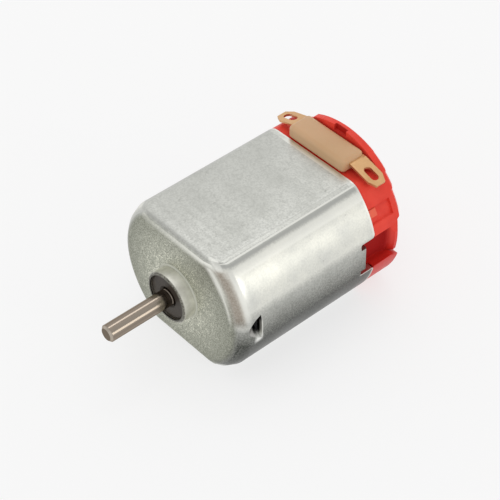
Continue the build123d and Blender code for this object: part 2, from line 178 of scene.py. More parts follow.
def mapValue(tree, value, low, high, toLow, toHigh):
    ranged = tree.nodes.new("ShaderNodeMapRange")
    ranged.inputs["From Min"].default_value = low
    ranged.inputs["From Max"].default_value = high
    ranged.inputs["To Min"].default_value = toLow
    ranged.inputs["To Max"].default_value = toHigh
    link(tree, value, ranged.inputs["Value"])
    return ranged.outputs["Result"]


def calc(tree, operation, first, second):
    node = tree.nodes.new("ShaderNodeMath")
    node.operation = operation
    for value, socket in ((first, node.inputs[0]), (second, node.inputs[1])):
        if isinstance(value, (int, float)):
            socket.default_value = value
        else:
            link(tree, value, socket)
    return node.outputs[0]


def axisValues(tree, place):
    split = tree.nodes.new("ShaderNodeSeparateXYZ")
    link(tree, place, split.inputs[0])
    return split.outputs["X"], split.outputs["Y"], split.outputs["Z"]


def bumpNormal(tree, shader, height, strength, distance):
    bump = tree.nodes.new("ShaderNodeBump")
    bump.inputs["Strength"].default_value = strength
    bump.inputs["Distance"].default_value = distance
    link(tree, height, bump.inputs["Height"])
    link(tree, bump.outputs["Normal"], shader.inputs["Normal"])


def scatterLight(shader, look):
    shader.inputs["Subsurface Weight"].default_value = look["scatter"]
    shader.inputs["Subsurface Scale"].default_value = look["scatterDepth"]
    shader.inputs["Subsurface Radius"].default_value = look["scatterColour"]


def useGroup(tree, group, place, **values):
    node = tree.nodes.new("ShaderNodeGroup")
    node.node_tree = group
    link(tree, place, node.inputs["Place"])
    for name, value in values.items():
        node.inputs[name].default_value = value
    return node


# handling marks shared by every finish: soft clouds, fine grain, scattered specks

handling = {"cloudDetail": 4.0, "grainDetail": 4.0, "grainRoughness": 0.7, "speckSpread": (0.70, 0.78)}
noiseSpread = (0.3, 0.7)  # the middle of a noise, stretched to the full range
grainDepth = 0.02 * mm


def makeHandlingGroup():
    group = bpy.data.node_groups.new("handlingMarks", "ShaderNodeTree")
    group.interface.new_socket("Place", in_out="INPUT", socket_type="NodeSocketVector")
    for name in ("Cloud Scale", "Grain Scale", "Speck Scale"):
        group.interface.new_socket(name, in_out="INPUT", socket_type="NodeSocketFloat")
    for name in ("Cloud", "Grain", "Speck"):
        group.interface.new_socket(name, in_out="OUTPUT", socket_type="NodeSocketFloat")
    inside = group.nodes.new("NodeGroupInput")
    outside = group.nodes.new("NodeGroupOutput")
    cloud = group.nodes.new("ShaderNodeTexNoise")
    cloud.inputs["Detail"].default_value = handling["cloudDetail"]
    grain = group.nodes.new("ShaderNodeTexNoise")
    grain.inputs["Detail"].default_value = handling["grainDetail"]
    grain.inputs["Roughness"].default_value = handling["grainRoughness"]
    speck = group.nodes.new("ShaderNodeTexNoise")
    spreads = {"Cloud": noiseSpread, "Grain": noiseSpread, "Speck": handling["speckSpread"]}
    for noise, name in ((cloud, "Cloud"), (grain, "Grain"), (speck, "Speck")):
        link(group, inside.outputs["Place"], noise.inputs["Vector"])
        link(group, inside.outputs[name + " Scale"], noise.inputs["Scale"])
        link(group, mapValue(group, noise.outputs["Fac"], *spreads[name], 0.0, 1.0), outside.inputs[name])
    return group


# streaks along the shaft's axis, or across it where Along is the larger

streakDetail = 3.0


def makeStreakGroup():
    group = bpy.data.node_groups.new("lengthStreaks", "ShaderNodeTree")
    group.interface.new_socket("Place", in_out="INPUT", socket_type="NodeSocketVector")
    group.interface.new_socket("Across", in_out="INPUT", socket_type="NodeSocketFloat")
    group.interface.new_socket("Along", in_out="INPUT", socket_type="NodeSocketFloat")
    group.interface.new_socket("Streak", in_out="OUTPUT", socket_type="NodeSocketFloat")
    inside = group.nodes.new("NodeGroupInput")
    outside = group.nodes.new("NodeGroupOutput")
    spread = group.nodes.new("ShaderNodeCombineXYZ")
    for axis, name in (("X", "Across"), ("Y", "Along"), ("Z", "Across")):
        link(group, inside.outputs[name], spread.inputs[axis])
    stretch = group.nodes.new("ShaderNodeVectorMath")
    stretch.operation = "MULTIPLY"
    link(group, inside.outputs["Place"], stretch.inputs[0])
    link(group, spread.outputs["Vector"], stretch.inputs[1])
    noise = group.nodes.new("ShaderNodeTexNoise")
    noise.inputs["Scale"].default_value = 1.0
    noise.inputs["Detail"].default_value = streakDetail
    link(group, stretch.outputs["Vector"], noise.inputs["Vector"])
    link(group, mapValue(group, noise.outputs["Fac"], *noiseSpread, 0.0, 1.0), outside.inputs["Streak"])
    return group


# a mask that is 1 between two places and fades outside them

def makeBandGroup():
    group = bpy.data.node_groups.new("softBand", "ShaderNodeTree")
    for name in ("Value", "Low", "High", "Fade"):
        group.interface.new_socket(name, in_out="INPUT", socket_type="NodeSocketFloat")
    group.interface.new_socket("Mask", in_out="OUTPUT", socket_type="NodeSocketFloat")
    inside = group.nodes.new("NodeGroupInput")
    outside = group.nodes.new("NodeGroupOutput")
    value, low, high, fade = (inside.outputs[name] for name in ("Value", "Low", "High", "Fade"))
    rising = calc(group, "DIVIDE", calc(group, "SUBTRACT", value, low), fade)
    falling = calc(group, "DIVIDE", calc(group, "SUBTRACT", high, value), fade)
    mask = calc(group, "ADD", calc(group, "MINIMUM", rising, falling), 1.0)
    link(group, mapValue(group, mask, 0.0, 1.0, 0.0, 1.0), outside.inputs["Mask"])
    return group


handlingMarks = makeHandlingGroup()
lengthStreaks = makeStreakGroup()
softBand = makeBandGroup()


# masks by place, with places in mm

def band(tree, value, places):  # low, high, fade
    node = tree.nodes.new("ShaderNodeGroup")
    node.node_tree = softBand
    link(tree, value, node.inputs["Value"])
    for name, place in zip(("Low", "High", "Fade"), places):
        node.inputs[name].default_value = place * mm
    return node.outputs["Mask"]


def ramp(tree, value, places, levels):
    return mapValue(tree, value, places[0] * mm, places[1] * mm, *levels)


def rise(tree, value, places):
    return ramp(tree, value, places, (0.0, 1.0))


def fall(tree, value, places):
    return ramp(tree, value, places, (1.0, 0.0))


def blend(tree, mask, levels):
    return mapValue(tree, mask, 0.0, 1.0, *levels)


def weaken(tree, mask, share):
    return calc(tree, "MULTIPLY", mask, share)


def both(tree, *masks):
    product = masks[0]
    for mask in masks[1:]:
        product = calc(tree, "MULTIPLY", product, mask)
    return product


def most(tree, *masks):
    largest = masks[0]
    for mask in masks[1:]:
        largest = calc(tree, "MAXIMUM", largest, mask)
    return largest


def fromAxis(tree, x, z):
    squares = calc(tree, "ADD", calc(tree, "MULTIPLY", x, x), calc(tree, "MULTIPLY", z, z))
    return calc(tree, "SQRT", squares, 0.0)


# zinc-plated can: satin sides, painted shade low on the right, a dull speckled front, painted highlights on
# edges

zinc = {
    "bright": (0.655, 0.66, 0.62), "dull": (0.50, 0.505, 0.47), "speck": (0.28, 0.28, 0.255),
    "scuff": (0.80, 0.805, 0.76), "grain": (0.40, 0.405, 0.375), "front": (1.0, 1.0, 0.87),
    "frontFleck": (0.33, 0.34, 0.28), "frontOuter": (0.23, 0.236, 0.195), "paintedRoundingReflection": (0.46, 0.42, 0.365),
    "paintedRoundingReflectionFleck": (0.36, 0.32, 0.27), "bossRoot": (0.54, 0.545, 0.47), "boss": (0.88, 0.87, 0.79),
    "bossCloud": (0.68, 0.67, 0.60), "bossRim": (0.30, 0.295, 0.25), "bossLip": (0.10, 0.095, 0.08),
    "paintedHighlight": (0.88, 0.88, 0.82), "paintedSheen": (0.84, 0.835, 0.755), "shade": (0.045, 0.048, 0.041),
    "shadeFleck": (0.17, 0.174, 0.156), "under": (0.07, 0.072, 0.065), "corner": (0.50, 0.505, 0.475),
    "paintedHollowShade": (0.012, 0.010, 0.008), "tongue": (0.50, 0.49, 0.47), "lip": (0.92, 0.92, 0.88),
    "roughness": 0.33, "dullRoughness": 0.52, "paintedHighlightRoughness": 0.27, "cloudRoughness": (-0.03, 0.04),
    "workedMetallic": 0.1, "bump": 0.08, "fleckSpread": (0.70, 1.22), "grainSpread": (0.3, 0.7),
    "mottle": (0.3, 0.7), "creamGrain": 0.35,
    "marks": {"Cloud Scale": 230.0, "Grain Scale": 4600.0, "Speck Scale": 1300.0},
    "flecks": {"Cloud Scale": 1300.0, "Grain Scale": 7100.0, "Speck Scale": 2600.0},
    "crossed": {"Across": 90.0, "Along": 1500.0}, "drawn": {"Across": 1500.0, "Along": 60.0},
    "places": {  # in mm
        "roundSide": (6.8, 7.1), "flat": (7.45, 7.6), "behind": (0.6, 1.0), "rightSide": (0.0, 3.0),
        "upper": (0.5, 1.8), "high": (2.0, 5.2), "fading": (0.5, 4.5), "nearFront": (0.35, 0.6),
        "frontDepth": (0.2, 0.45), "frontTop": (7.33, 7.45), "frontThin": (8.5, 8.57, 0.25),
        "frontWide": (8.45, 8.7, 0.35), "sideSlim": (1.25, 1.55, 0.4), "sideBroad": (1.25, 1.85, 0.5),
        "underLine": (0.7, 0.9, 0.6), "underLineDepth": (0.5, 1.5, 0.4), "edgeLine": (7.505, 7.565, 0.025),
        "paintedEdgeShade": (5.94, 6.2, 0.14), "flatFrontTop": (7.33, 7.42), "flatFrontLow": (6.55, 7.23),
        "flatFrontDepth": (0.3, 0.45), "flatFrontAcross": (-4.0, 5.0), "flatCornerAcross": (4.9, 6.8, 0.3),
        "flatCornerDepth": (0.5, 0.85, 0.15), "flatCornerTop": (6.7, 6.95), "shoulder": (6.35, 6.95, 0.2),
        "rearEdge": (19.25, 19.45), "rearFlat": (18.85, 18.95), "rearAcross": (3.9, 4.7),
        "dentDepth": (1.5, 3.35, 0.1), "dentHeight": (1.9, 2.0), "dentRadius": (9.78, 9.9),
        "deepHeight": (-0.5, 0.1), "deepDepth": (2.35, 2.6), "dentEdge": (3.03, 3.15, 0.04),
        "dentEdgeHeight": (-1.4, 0.6, 0.5), "dentEdgeRadius": (9.6, 9.7), "slitEdge": (-2.34, -2.1, 0.05),
        "slitDepth": (17.4, 17.7), "wallInside": (8.0, 8.2), "insideDepth": (1.9, 2.2),
        "boss": (-0.27, -0.12), "bossRim": (-1.6, -1.5), "bossRoot": (3.05, 3.25, 0.05),
        "bossLip": (2.75, 2.9), "paintedRoundingReflection": (0.45, 1.05, 0.35), "creamLow": (1.7, 2.6),
        "creamHigh": (6.88, 7.33), "shade": (-2.0, 2.6), "shadeDepth": (0.08, 0.45), "under": (-1.6, -2.8),
        "underDepth": (0.5, 0.9), "corner": (7.3, 7.4, 0.14), "lip": (-1.75, -1.45, 0.55),
        "lipDepth": (2.5, 2.9, 0.5), "outward": (3.6, 9.0), "crosswise": (2.0, 6.0),
        "crosswiseAcross": (-4.0, 3.0), "lengthwise": (3.6, 4.8), "leftward": (-6.0, 4.0),
    },
    "levels": {  # a mask's strength at its first and its second place
        "frontTop": (1.0, 0.3), "fading": (0.4, 1.0), "flatFrontAcross": (0.4, 0.95),
        "rearAcross": (1.0, 0.4), "under": (0.0, 0.6), "outward": (0.0, 0.9), "crosswise": (1.0, 0.3),
        "crosswiseAcross": (0.4, 1.0), "lengthwise": (0.15, 1.0), "leftward": (0.6, 0.0),
    },
    "shares": {
        "underLine": 0.4, "paintedHighlight": 0.8, "paintedGlint": 0.6, "edgeLine": 0.9, "scuff": 0.6, "paintedEdgeShade": 0.65,
        "speck": 0.4, "patch": 0.7, "cutEdge": 0.7, "lip": 0.85,
    },
}


def canMasks(tree, place):  # where each finish, painted highlight and painted shade lies on the can
    x, y, z = axisValues(tree, place)
    acrossFlat = calc(tree, "ABSOLUTE", x, 0.0)
    height = calc(tree, "ABSOLUTE", z, 0.0)
    radius = fromAxis(tree, x, z)
    at, shares = zinc["places"], zinc["shares"]

    def graded(value, name):
        return ramp(tree, value, at[name], zinc["levels"][name])

    roundSide = fall(tree, height, at["roundSide"])
    flat = rise(tree, height, at["flat"])
    behind = rise(tree, y, at["behind"])
    rightSide = rise(tree, x, at["rightSide"])
    upper = both(tree, rise(tree, z, at["upper"]), rightSide)
    high = rise(tree, z, at["high"])
    fading = graded(z, "fading")

    front = both(tree, fall(tree, y, at["frontDepth"]), graded(z, "frontTop"))
    # painted highlights: bright lines on the front rounding and the right side, fading lower down
    frontWide = both(tree, band(tree, radius, at["frontWide"]), high)
    frontLine = most(tree, band(tree, radius, at["frontThin"]), frontWide)
    frontLine = both(tree, frontLine, roundSide, upper, fall(tree, y, at["nearFront"]), fading)
    sideBroad = both(tree, band(tree, y, at["sideBroad"]), high)
    sideLine = most(tree, band(tree, y, at["sideSlim"]), sideBroad)
    sideLine = both(tree, sideLine, roundSide, upper, fading)
    underLine = both(tree, band(tree, z, at["underLine"]), band(tree, y, at["underLineDepth"]), rightSide)
    paintedHighlight = most(tree, sideLine, frontLine, weaken(tree, underLine, shares["underLine"]))

    edgeLine = both(tree, band(tree, height, at["edgeLine"]), behind, rightSide)
    # painted shade: a darker strip on the flat beside its right edge
    paintedEdgeShade = both(tree, band(tree, acrossFlat, at["paintedEdgeShade"]), flat, behind, rightSide)
    flatFront = both(tree, fall(tree, z, at["flatFrontTop"]), rise(tree, z, at["flatFrontLow"]),
                     fall(tree, y, at["flatFrontDepth"]), graded(x, "flatFrontAcross"))
    flatCorner = both(tree, band(tree, acrossFlat, at["flatCornerAcross"]),
                      band(tree, y, at["flatCornerDepth"]), rise(tree, z, at["flatCornerTop"]), rightSide)
    shoulder = both(tree, band(tree, z, at["shoulder"]), behind, rightSide)
    rearFlat = both(tree, rise(tree, y, at["rearFlat"]), graded(acrossFlat, "rearAcross"), flat)
    rear = most(tree, rise(tree, y, at["rearEdge"]), rearFlat)
    # painted highlights: the flat's edge line, front edge and front-right corner, a shoulder line, the rear
    # edge
    paintedGlints = weaken(tree, most(tree, rear, shoulder, flatCorner), shares["paintedGlint"])
    paintedGlint = most(tree, paintedGlints, weaken(tree, edgeLine, shares["edgeLine"]), flatFront)

    dent = both(tree, band(tree, y, at["dentDepth"]), fall(tree, height, at["dentHeight"]),
                fall(tree, radius, at["dentRadius"]))
    deep = most(tree, rise(tree, z, at["deepHeight"]), rise(tree, y, at["deepDepth"]))
    dentEdge = both(tree, band(tree, y, at["dentEdge"]), band(tree, z, at["dentEdgeHeight"]),
                    rise(tree, radius, at["dentEdgeRadius"]))
    slitEdge = both(tree, band(tree, z, at["slitEdge"]), rise(tree, y, at["slitDepth"]))
    inside = both(tree, fall(tree, radius, at["wallInside"]), roundSide, rise(tree, y, at["insideDepth"]))

    return {
        "front": front, "boss": fall(tree, y, at["boss"]), "bossRim": fall(tree, y, at["bossRim"]),
        "bossRoot": both(tree, band(tree, radius, at["bossRoot"]), front),
        "bossLip": fall(tree, radius, at["bossLip"]),
        # painted reflection: a brown band on the upper right of the front rounding
        "paintedRoundingReflection": both(tree, band(tree, y, at["paintedRoundingReflection"]), roundSide, upper),
        "paintedHighlight": weaken(tree, paintedHighlight, shares["paintedHighlight"]), "paintedGlint": paintedGlint, "paintedEdgeShade": paintedEdgeShade,
        # painted sheen: the round sides lighter from mid height up to the top corners
        "paintedSheen": both(tree, rise(tree, z, at["creamLow"]), fall(tree, z, at["creamHigh"]), behind),
        # painted shade: the lower right side darker, darkest low down
        "shade": both(tree, fall(tree, z, at["shade"]), roundSide, rightSide,
                      rise(tree, y, at["shadeDepth"])),
        "under": both(tree, graded(z, "under"), roundSide, rightSide, rise(tree, y, at["underDepth"])),
        # painted shade on the rounded top corners
        "corner": both(tree, band(tree, height, at["corner"]), behind),
        "tongue": dent, "paintedHollowShade": most(tree, inside, both(tree, dent, deep)),
        "lip": both(tree, band(tree, z, at["lip"]), band(tree, y, at["lipDepth"]), roundSide),
        "cutEdge": most(tree, dentEdge, slitEdge), "outward": graded(radius, "outward"),
        "crosswise": both(tree, graded(y, "crosswise"), graded(x, "crosswiseAcross"), flat, behind),
        "lengthwise": both(tree, graded(x, "lengthwise"), flat, behind), "leftward": graded(x, "leftward"),
    }


def zincFinish():
    material, tree, shader, place = newMaterial("zincSatin")
    marks = useGroup(tree, handlingMarks, place, **zinc["marks"])
    flecks = useGroup(tree, handlingMarks, place, **zinc["flecks"])
    crossed = useGroup(tree, lengthStreaks, place, **zinc["crossed"])
    drawn = useGroup(tree, lengthStreaks, place, **zinc["drawn"])
    mask = canMasks(tree, place)
    shares = zinc["shares"]
    cloud, grain = marks.outputs["Cloud"], marks.outputs["Grain"]
    patch = flecks.outputs["Cloud"]
    fleck = mapValue(tree, calc(tree, "ADD", flecks.outputs["Grain"], grain), *zinc["fleckSpread"], 0.0, 1.0)

    # flats and round sides
    colour = mixColour(tree, cloud, zinc["bright"], zinc["dull"])
    # painted shade: darker towards the can's left
    colour = mixColour(tree, mask["leftward"], colour, zinc["corner"])
    scuffs = most(tree, both(tree, crossed.outputs["Streak"], mask["crosswise"]),
                  both(tree, drawn.outputs["Streak"], mask["lengthwise"]))
    colour = mixColour(tree, weaken(tree, scuffs, shares["scuff"]), colour, zinc["scuff"])
    # painted sheen on the round sides, from mid height up to the top corners
    colour = mixColour(tree, mask["paintedSheen"], colour, mixColour(tree, cloud, zinc["paintedSheen"], zinc["bright"]))
    grainy = both(tree, blend(tree, patch, zinc["mottle"]),
                  mapValue(tree, grain, *zinc["grainSpread"], 0.0, 1.0),
                  blend(tree, mask["paintedSheen"], (1.0, zinc["creamGrain"])))
    colour = mixColour(tree, grainy, colour, zinc["grain"])
    # painted shade on the rounded top corners
    colour = mixColour(tree, mask["corner"], colour, zinc["corner"])
    # painted shade: a darker strip on the flat beside its right edge
    colour = mixColour(tree, weaken(tree, mask["paintedEdgeShade"], shares["paintedEdgeShade"]), colour, zinc["grain"])
    specks = weaken(tree, marks.outputs["Speck"], shares["speck"])
    colour = mixColour(tree, specks, colour, zinc["speck"])

    # front, the painted reflection band on its rounding, and the painted shade on the lower right side
    front = mixColour(tree, fleck, zinc["front"], zinc["frontFleck"])
    front = mixColour(tree, weaken(tree, patch, shares["patch"]), front, zinc["frontFleck"])
    outer = mixColour(tree, fleck, zinc["frontFleck"], zinc["frontOuter"])
    front = mixColour(tree, mask["outward"], front, outer)
    front = mixColour(tree, mask["bossRoot"], front, zinc["bossRoot"])
    colour = mixColour(tree, mask["front"], colour, front)
    # painted reflection: a brown band on the front rounding
    paintedRoundingReflection = mixColour(tree, fleck, zinc["paintedRoundingReflection"], zinc["paintedRoundingReflectionFleck"])
    colour = mixColour(tree, mask["paintedRoundingReflection"], colour, paintedRoundingReflection)
    # painted shade on the lower right side, darkest at the bottom
    shade = mixColour(tree, fleck, zinc["shadeFleck"], zinc["shade"])
    colour = mixColour(tree, mask["shade"], colour, shade)
    colour = mixColour(tree, mask["under"], colour, zinc["under"])

    # boss with painted shade on its face, painted highlights along the edges, lance and slits
    colour = mixColour(tree, mask["boss"], colour, mixColour(tree, patch, zinc["boss"], zinc["bossCloud"]))
    # painted shade on the boss's front face, darkest around the bearing
    rim = mixColour(tree, fleck, zinc["bossRim"], zinc["bossLip"])
    rim = mixColour(tree, mask["bossLip"], rim, zinc["bossLip"])
    colour = mixColour(tree, mask["bossRim"], colour, rim)
    # painted highlights along the edges
    colour = mixColour(tree, most(tree, mask["paintedHighlight"], mask["paintedGlint"]), colour, zinc["paintedHighlight"])
    colour = mixColour(tree, mask["tongue"], colour, zinc["tongue"])
    # painted shade: near black inside the lance's opening and inside the can wall
    colour = mixColour(tree, mask["paintedHollowShade"], colour, zinc["paintedHollowShade"])
    # painted highlights on the lance's cut edge, the slit edges and the lance's lower lip
    colour = mixColour(tree, weaken(tree, mask["cutEdge"], shares["cutEdge"]), colour, zinc["paintedHighlight"])
    colour = mixColour(tree, weaken(tree, mask["lip"], shares["lip"]), colour, zinc["lip"])
    link(tree, colour, shader.inputs["Base Color"])

    dulled = calc(tree, "SUBTRACT", most(tree, mask["paintedRoundingReflection"], mask["front"]), mask["boss"])
    rough = blend(tree, dulled, (zinc["roughness"], zinc["dullRoughness"]))
    rough = calc(tree, "ADD", rough, blend(tree, cloud, zinc["cloudRoughness"]))
    polished = blend(tree, mask["paintedHighlight"], (1.0, zinc["paintedHighlightRoughness"] / zinc["roughness"]))
    link(tree, both(tree, rough, polished), shader.inputs["Roughness"])
    worked = most(tree, mask["lip"], calc(tree, "SUBTRACT", mask["tongue"], mask["paintedHollowShade"]))
    link(tree, blend(tree, worked, (1.0, zinc["workedMetallic"])), shader.inputs["Metallic"])
    bumpNormal(tree, shader, grain, zinc["bump"], grainDepth)
    return material


# turned shaft: warm lengthwise streaks, a painted highlight on the chamfer, painted shade in the ring groove

polish = {
    "light": (0.40, 0.345, 0.285), "dark": (0.20, 0.162, 0.13), "chamfer": (0.44, 0.39, 0.33),
    "endFace": (0.20, 0.172, 0.142), "ring": (0.10, 0.085, 0.07), "edgeTint": (0.6, 0.55, 0.5),
    "tipPlace": (-9.53, -9.45), "faceRadius": (0.70, 0.76), "ringPlace": (-1.63, -1.53, 0.06),
    "ringShare": 0.7, "streaks": {"Across": 2100.0, "Along": 20.0}, "roughness": (0.13, 0.18),
}


def shaftFinish():
    material, tree, shader, place = newMaterial("shaftPolish")
    streak = useGroup(tree, lengthStreaks, place, **polish["streaks"]).outputs["Streak"]
    x, y, z = axisValues(tree, place)
    tip = fall(tree, y, polish["tipPlace"])
    face = both(tree, tip, fall(tree, fromAxis(tree, x, z), polish["faceRadius"]))
    ring = weaken(tree, band(tree, y, polish["ringPlace"]), polish["ringShare"])
    colour = mixColour(tree, streak, polish["light"], polish["dark"])
    # painted highlight on the tip's chamfer
    colour = mixColour(tree, tip, colour, polish["chamfer"])
    colour = mixColour(tree, face, colour, polish["endFace"])
    # painted shade in the ring groove at the bearing
    colour = mixColour(tree, ring, colour, polish["ring"])
    link(tree, colour, shader.inputs["Base Color"])
    link(tree, blend(tree, streak, polish["roughness"]), shader.inputs["Roughness"])
    shader.inputs["Metallic"].default_value = 1.0
    shader.inputs["Specular Tint"].default_value = (*polish["edgeTint"], 1.0)
    return material


# plain finishes: two colours clouded together with grain and specks

roughnessSpread = 0.05


def cloudedFinish(name, look):
    material, tree, shader, place = newMaterial(name)
    marks = useGroup(tree, handlingMarks, place, **{
        "Cloud Scale": look["cloud"], "Grain Scale": look["grain"], "Speck Scale": look["specks"]})
    colour = mixColour(tree, marks.outputs["Cloud"], look["first"], look["second"])
    specks = weaken(tree, marks.outputs["Speck"], look["speckShare"])
    colour = mixColour(tree, specks, colour, look["speck"])
    link(tree, colour, shader.inputs["Base Color"])
    levels = (look["roughness"] - roughnessSpread, look["roughness"] + roughnessSpread)
    link(tree, blend(tree, marks.outputs["Grain"], levels), shader.inputs["Roughness"])
    shader.inputs["Metallic"].default_value = look["metallic"]
    bumpNormal(tree, shader, marks.outputs["Grain"], look["bump"], grainDepth)
    return material, tree, shader, place, colour


# red moulded cap, painted shade low down, in the crimp pockets and in its arch's notch, a painted highlit
# pad

moulding = {
    "first": (0.86, 0.072, 0.046), "second": (0.74, 0.048, 0.030), "speck": (0.86, 0.16, 0.11),
    "speckShare": 0.3, "cloud": 500.0, "grain": 3600.0, "specks": 1200.0, "roughness": 0.38, "metallic": 0.0,
    "bump": 0.22, "pocket": (0.36, 0.006, 0.005), "pad": (0.86, 0.16, 0.09), "low": (0.56, 0.016, 0.012),
    "pocketHeight": (2.0, 2.3), "pocketRadius": (9.1, 9.45), "pocketDepth": (22.3, 22.8),
    "pocketRoughness": 0.8, "padHeight": (4.2, 5.0, 0.1), "padDepth": (20.6, 20.8), "padAcross": (8.3, 8.5),
    "padShare": 0.8, "notchAcross": (-0.42, 1.32, 0.08), "notchHeight": (9.0, 9.15),
    "notchDepth": (23.44, 23.5), "notchShare": 0.85, "lowHeight": (1.5, -2.5), "lowLevels": (0.0, 0.9),
    "specular": 0.18,
    "scatter": 0.06, "scatterDepth": 0.3 * mm, "scatterColour": (1.0, 0.25, 0.15),
}


def capFinish():
    material, tree, shader, place, colour = cloudedFinish("redMoulding", moulding)
    x, y, z = axisValues(tree, place)
    acrossCap = calc(tree, "ABSOLUTE", x, 0.0)
    height = calc(tree, "ABSOLUTE", z, 0.0)
    pocket = both(tree, fall(tree, height, moulding["pocketHeight"]),
                  fall(tree, fromAxis(tree, x, z), moulding["pocketRadius"]),
                  fall(tree, y, moulding["pocketDepth"]))
    pad = both(tree, band(tree, z, moulding["padHeight"]), fall(tree, y, moulding["padDepth"]),
               rise(tree, acrossCap, moulding["padAcross"]))
    notch = both(tree, band(tree, x, moulding["notchAcross"]), rise(tree, z, moulding["notchHeight"]),
                 fall(tree, y, moulding["notchDepth"]))
    # painted shade: darker towards the bottom
    low = ramp(tree, z, moulding["lowHeight"], moulding["lowLevels"])
    colour = mixColour(tree, low, colour, moulding["low"])
    # painted shade in the notch of the arch
    colour = mixColour(tree, weaken(tree, notch, moulding["notchShare"]), colour, moulding["pocket"])
    # painted highlight on the raised pad
    colour = mixColour(tree, weaken(tree, pad, moulding["padShare"]), colour, moulding["pad"])
    # painted shade in the crimp pockets
    link(tree, mixColour(tree, pocket, colour, moulding["pocket"]), shader.inputs["Base Color"])
    levels = (moulding["roughness"], moulding["pocketRoughness"])
    link(tree, blend(tree, pocket, levels), shader.inputs["Roughness"])
    shader.inputs["Specular IOR Level"].default_value = moulding["specular"]
    scatterLight(shader, moulding)
    return material


# tan dipped capacitor, pinkish on top and yellower at its front

epoxy = {
    "first": (0.64, 0.395, 0.22), "second": (0.575, 0.35, 0.18), "speck": (0.44, 0.25, 0.13),
    "speckShare": 0.25, "cloud": 220.0, "grain": 4000.0, "specks": 900.0, "roughness": 0.46, "metallic": 0.0,
    "bump": 0.12, "front": (0.655, 0.43, 0.24), "frontPlace": (19.5, 20.2),
    "scatter": 0.15, "scatterDepth": 0.5 * mm, "scatterColour": (1.0, 0.6, 0.35),
}


def epoxyFinish():
    material, tree, shader, place, colour = cloudedFinish("tanEpoxy", epoxy)
    y = axisValues(tree, place)[1]
    towardFront = fall(tree, y, epoxy["frontPlace"])
    link(tree, mixColour(tree, towardFront, colour, epoxy["front"]), shader.inputs["Base Color"])
    scatterLight(shader, epoxy)
    return material


finishes = {
    "lugCopper": {
        "first": (0.70, 0.435, 0.215), "second": (0.60, 0.35, 0.165), "speck": (0.25, 0.14, 0.07),
        "speckShare": 0.6, "cloud": 500.0, "grain": 6000.0, "specks": 1600.0, "roughness": 0.38,
        "metallic": 0.85, "bump": 0.1},
    "sinteredBush": {
        "first": (0.056, 0.043, 0.031), "second": (0.036, 0.028, 0.020), "speck": (0.12, 0.095, 0.07),
        "speckShare": 0.7, "cloud": 900.0, "grain": 9000.0, "specks": 5000.0, "roughness": 0.5,
        "metallic": 0.5, "bump": 0.25},
    "ferriteBlock": {
        "first": (0.05, 0.05, 0.055), "second": (0.075, 0.075, 0.08), "speck": (0.13, 0.13, 0.13),
        "speckShare": 0.4, "cloud": 400.0, "grain": 6000.0, "specks": 2500.0, "roughness": 0.7,
        "metallic": 0.0, "bump": 0.2},
    "springWire": {
        "first": (0.45, 0.45, 0.46), "second": (0.36, 0.36, 0.37), "speck": (0.2, 0.2, 0.2),
        "speckShare": 0.3, "cloud": 800.0, "grain": 6000.0, "specks": 2500.0, "roughness": 0.32,
        "metallic": 1.0, "bump": 0.1},
    "chipCeramic": {
        "first": (0.55, 0.52, 0.46), "second": (0.50, 0.46, 0.40), "speck": (0.35, 0.3, 0.25),
        "speckShare": 0.3, "cloud": 700.0, "grain": 6000.0, "specks": 2500.0, "roughness": 0.6,
        "metallic": 0.0, "bump": 0.1},
    "leafBronze": {
        "first": (0.66, 0.45, 0.23), "second": (0.56, 0.36, 0.17), "speck": (0.3, 0.18, 0.08),
        "speckShare": 0.4, "cloud": 700.0, "grain": 6000.0, "specks": 2500.0, "roughness": 0.33,
        "metallic": 1.0, "bump": 0.08},
    "coreSteel": {
        "first": (0.32, 0.33, 0.35), "second": (0.24, 0.25, 0.27), "speck": (0.12, 0.12, 0.12),
        "speckShare": 0.4, "cloud": 600.0, "grain": 6000.0, "specks": 2500.0, "roughness": 0.45,
        "metallic": 1.0, "bump": 0.1},
    "fibreBoard": {
        "first": (0.55, 0.52, 0.42), "second": (0.48, 0.44, 0.34), "speck": (0.35, 0.3, 0.22),
        "speckShare": 0.5, "cloud": 600.0, "grain": 7000.0, "specks": 3000.0, "roughness": 0.8,
        "metallic": 0.0, "bump": 0.25},
    "hubPlastic": {
        "first": (0.03, 0.03, 0.032), "second": (0.045, 0.045, 0.047), "speck": (0.09, 0.09, 0.09),
        "speckShare": 0.3, "cloud": 700.0, "grain": 6000.0, "specks": 3000.0, "roughness": 0.5,
        "metallic": 0.0, "bump": 0.12},
    "segmentCopper": {
        "first": (0.74, 0.40, 0.24), "second": (0.62, 0.31, 0.17), "speck": (0.2, 0.1, 0.06),
        "speckShare": 0.4, "cloud": 700.0, "grain": 6000.0, "specks": 3000.0, "roughness": 0.25,
        "metallic": 1.0, "bump": 0.08},
    "whiteNylon": {
        "first": (0.80, 0.79, 0.75), "second": (0.74, 0.73, 0.68), "speck": (0.6, 0.58, 0.52),
        "speckShare": 0.3, "cloud": 700.0, "grain": 6000.0, "specks": 3000.0, "roughness": 0.5,
        "metallic": 0.0, "bump": 0.1},
}

# enamelled wire: fine turns across each coil's length

enamel = {"light": (0.55, 0.21, 0.07), "dark": (0.24, 0.07, 0.025), "turns": 4200.0, "turnUnit": 6.28,
          "distortion": 0.6, "roughness": 0.28, "metallic": 0.6, "bump": 0.5, "bumpDepth": 0.05 * mm}


